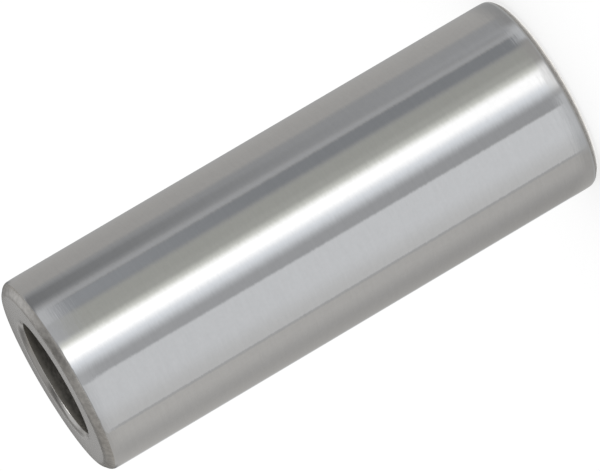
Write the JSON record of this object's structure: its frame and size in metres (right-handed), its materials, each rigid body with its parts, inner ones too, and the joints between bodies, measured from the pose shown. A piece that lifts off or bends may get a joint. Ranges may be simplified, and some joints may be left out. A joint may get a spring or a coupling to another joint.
{
  "type": "gudgeon pin",
  "caption": "Hollow ground steel pin with chamfered ends and a through bore, which joins a piston to its connecting rod.",
  "frame": {"origin": "centre of the lower end face, on the pin's axis, where it stands", "axes": "+Z along the pin's axis, up from the end that it stands on; X and Y are square to it and alike"},
  "size_m": [0.0236, 0.0236, 0.0635],
  "materials": {
    "ground_steel": "ground and polished outside, plain turned end faces, rough dark chamfers and bore"
  },
  "bodies": {
    "root": {"gudgeon_pin": "ground_steel"}
  },
  "joints": []
}
